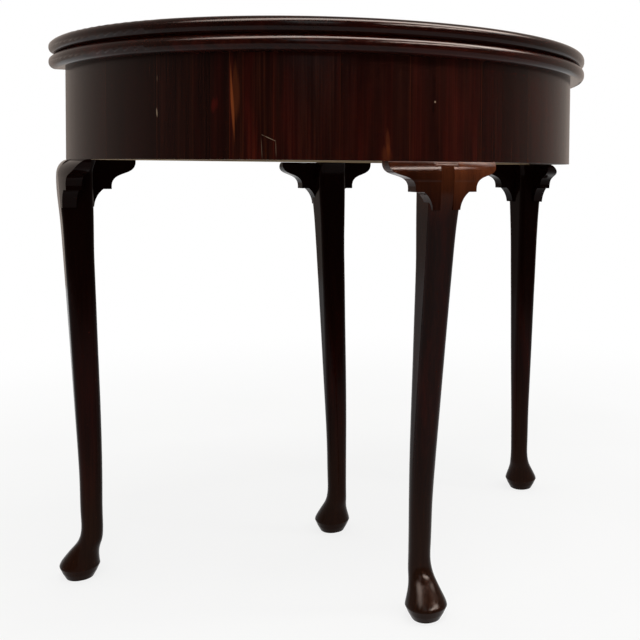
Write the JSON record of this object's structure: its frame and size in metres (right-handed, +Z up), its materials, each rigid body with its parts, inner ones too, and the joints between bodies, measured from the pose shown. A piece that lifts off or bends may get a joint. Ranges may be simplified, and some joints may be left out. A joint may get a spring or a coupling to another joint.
{
  "type": "folding card table",
  "caption": "Half-round folding card table: a hinged upper leaf opens flat and rests on a gate leg that swings out from the back of the curved frieze.",
  "frame": {"origin": "on the floor under the middle of the closed table's plan box", "axes": "+Z up; -Y towards the middle of the curved front; +X to the right of someone who stands in front"},
  "size_m": [0.8, 0.4038, 0.73],
  "materials": {
    "top_mahogany": "dark French-polished mahogany, glossy",
    "leg_mahogany": "dark polished mahogany, worn at the knees and feet",
    "frieze_veneer": "upright-grain mahogany veneer, polished",
    "pale_softwood": "bare sawn and planed softwood, aged",
    "hard_secondary_wood": "bare planed hardwood, aged",
    "hinge_brass": "dull aged brass",
    "screw_steel": "dark oxidised steel",
    "pin_iron": "dark wrought iron"
  },
  "bodies": {
    "frame": {"centre_brace": "pale_softwood", "fixed_hinge_screws": "hinge_brass", "fixed_leaf": "top_mahogany", "front_leg": "leg_mahogany", "front_leg_left_ear": "leg_mahogany", "front_leg_right_ear": "leg_mahogany", "glue_blocks": "pale_softwood", "hinge_pins": "hinge_brass", "inner_back_rail": "pale_softwood", "knuckle_pin": "pin_iron", "knuckle_rail": "hard_secondary_wood", "left_hinge_fixed_plate": "hinge_brass", "left_leg": "leg_mahogany", "left_leg_back_ear": "leg_mahogany", "left_leg_front_ear": "leg_mahogany", "left_lower_bricks": "pale_softwood", "left_middle_bricks": "pale_softwood", "left_outer_rail": "hard_secondary_wood", "left_packing_block": "pale_softwood", "left_upper_bricks": "pale_softwood", "right_hinge_fixed_plate": "hinge_brass", "right_leg": "leg_mahogany", "right_leg_back_ear": "leg_mahogany", "right_leg_front_ear": "leg_mahogany", "right_lower_bricks": "pale_softwood", "right_middle_bricks": "pale_softwood", "right_packing_block": "pale_softwood", "right_upper_bricks": "pale_softwood", "top_screws": "screw_steel", "veneer_leaf_01": "frieze_veneer", "veneer_leaf_02": "frieze_veneer", "veneer_leaf_03": "frieze_veneer", "veneer_leaf_04": "frieze_veneer", "veneer_leaf_05": "frieze_veneer", "veneer_leaf_06": "frieze_veneer", "veneer_leaf_07": "frieze_veneer", "veneer_leaf_08": "frieze_veneer", "veneer_leaf_09": "frieze_veneer", "veneer_leaf_10": "frieze_veneer", "veneer_leaf_11": "frieze_veneer", "veneer_leaf_12": "frieze_veneer", "veneer_leaf_13": "frieze_veneer", "veneer_leaf_14": "frieze_veneer", "veneer_leaf_15": "frieze_veneer"},
    "flap": {"folding_leaf": "top_mahogany", "locating_tongue": "top_mahogany", "left_hinge_flap_plate": "hinge_brass", "right_hinge_flap_plate": "hinge_brass", "flap_hinge_screws": "hinge_brass"},
    "gate": {"gate_leg": "leg_mahogany", "gate_leg_left_ear": "leg_mahogany", "gate_leg_right_ear": "leg_mahogany", "gate_rail": "hard_secondary_wood", "gate_tenon_pegs": "hard_secondary_wood"}
  },
  "joints": [
    {"name": "flap_hinge", "type": "hinge", "parent": "frame", "child": "flap", "pos_m": [0, 0.19625, 0.7104], "axis": [-1, 0, 0], "range_deg": [0, 180]},
    {"name": "gate_swing", "type": "hinge", "parent": "frame", "child": "gate", "pos_m": [0.24, 0.17625, 0.631], "axis": [0, 0, -1], "range_deg": [0, 85]}
  ]
}
